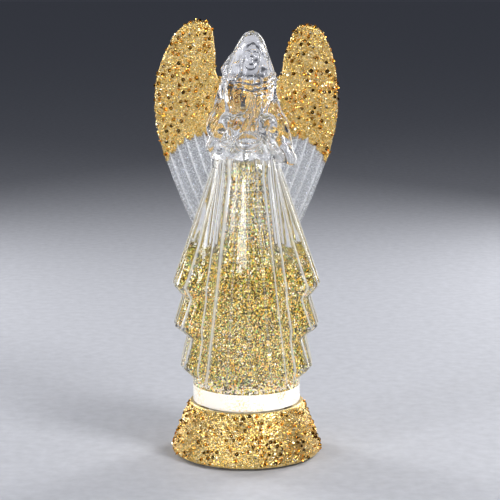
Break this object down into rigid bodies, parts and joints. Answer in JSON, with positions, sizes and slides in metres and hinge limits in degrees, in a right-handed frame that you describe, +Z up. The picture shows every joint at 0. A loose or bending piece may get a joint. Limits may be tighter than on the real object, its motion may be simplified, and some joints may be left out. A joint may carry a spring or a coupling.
{
  "type": "angel figurine",
  "caption": "Lighted angel figurine of clear acrylic, with a stirred glitter liquid robe, gold-coated wings and a gold battery base.",
  "frame": {"origin": "on the table under the middle of the object's box, on the robe's axis", "axes": "+Z up, the angel faces -Y, +X to the right as seen from the front"},
  "size_m": [0.1296, 0.106, 0.3077],
  "materials": {
    "casing_plastic": "moulded gold-tinted ABS under the glitter coat",
    "gold_glitter": "glued gold foil glitter and round sequins, sparkling",
    "cover_plastic": "fine moulded texture",
    "steel": "zinc plated",
    "black_plastic": "moulded",
    "knob_plastic": "moulded, ribbed",
    "foot_rubber": "soft matt rubber",
    "cell_jacket": "printed jacket, plain",
    "nickel_plate": "nickel plated",
    "lead_red": "PVC insulation",
    "lead_black": "PVC insulation",
    "deck_plastic": "moulded white ABS",
    "motor_steel": "drawn can",
    "shaft_steel": "ground",
    "hub_plastic": "moulded",
    "magnet_nickel": "nickel plated magnet",
    "board_white": "white solder mask",
    "led_lens": "clear domed lens, lit warm white",
    "floor_acrylic": "frosted clear acrylic",
    "plug_rubber": "white silicone",
    "impeller_plastic": "translucent moulded",
    "clear_acrylic": "clear polished acrylic",
    "liquid": "clear liquid full of gold glitter",
    "bust_acrylic": "clear polished acrylic",
    "wing_acrylic": "frosted clear acrylic with silver sparkle"
  },
  "bodies": {
    "root": {"base_housing": "casing_plastic", "base_glitter_coat": "gold_glitter", "bottom_cover": "cover_plastic", "cover_screws": "steel", "switch_body": "black_plastic", "rubber_feet": "foot_rubber", "battery_tray": "black_plastic", "battery_cells": "cell_jacket", "battery_contacts": "nickel_plate", "battery_springs": "nickel_plate", "battery_leads": "lead_red", "switch_leads": "lead_black", "motor_deck": "deck_plastic", "deck_screws": "steel", "motor_can": "motor_steel", "motor_screws": "steel", "motor_leads": "lead_black", "led_board": "board_white", "leds": "led_lens", "board_screws": "steel", "tank_floor": "floor_acrylic", "fill_plug": "plug_rubber", "impeller_post": "shaft_steel", "post_cap": "hub_plastic", "robe_tank": "clear_acrylic", "glitter_liquid": "liquid", "angel_bust": "bust_acrylic", "wing_right": "wing_acrylic", "wing_left": "wing_acrylic", "wing_right_coat": "gold_glitter", "wing_left_coat": "gold_glitter"},
    "rotor": {"motor_shaft": "shaft_steel", "drive_hub": "hub_plastic", "drive_magnets": "magnet_nickel"},
    "impeller": {"impeller": "impeller_plastic", "impeller_magnets": "magnet_nickel"},
    "battery_door": {"battery_door": "cover_plastic", "door_screw": "steel"},
    "switch_knob": {"switch_knob": "knob_plastic"}
  },
  "joints": [
    {"name": "rotor_spin", "type": "hinge", "parent": "root", "child": "rotor", "pos_m": [0, 0, 0.034], "axis": [0, 0, 1], "continuous": true},
    {"name": "impeller_spin", "type": "hinge", "parent": "root", "child": "impeller", "pos_m": [0, 0, 0.052], "axis": [0, 0, 1], "continuous": true},
    {"name": "battery_door_hinge", "type": "hinge", "parent": "root", "child": "battery_door", "pos_m": [0, -0.0277, 0.0021], "axis": [-1, 0, 0], "range_deg": [0, 75]},
    {"name": "switch_slide", "type": "slide", "parent": "root", "child": "switch_knob", "axis": [0, 1, 0], "range_m": [0, 0.006]}
  ],
  "couplings": [
    {"joint": "impeller_spin", "follows": "rotor_spin", "ratio": 1}
  ]
}
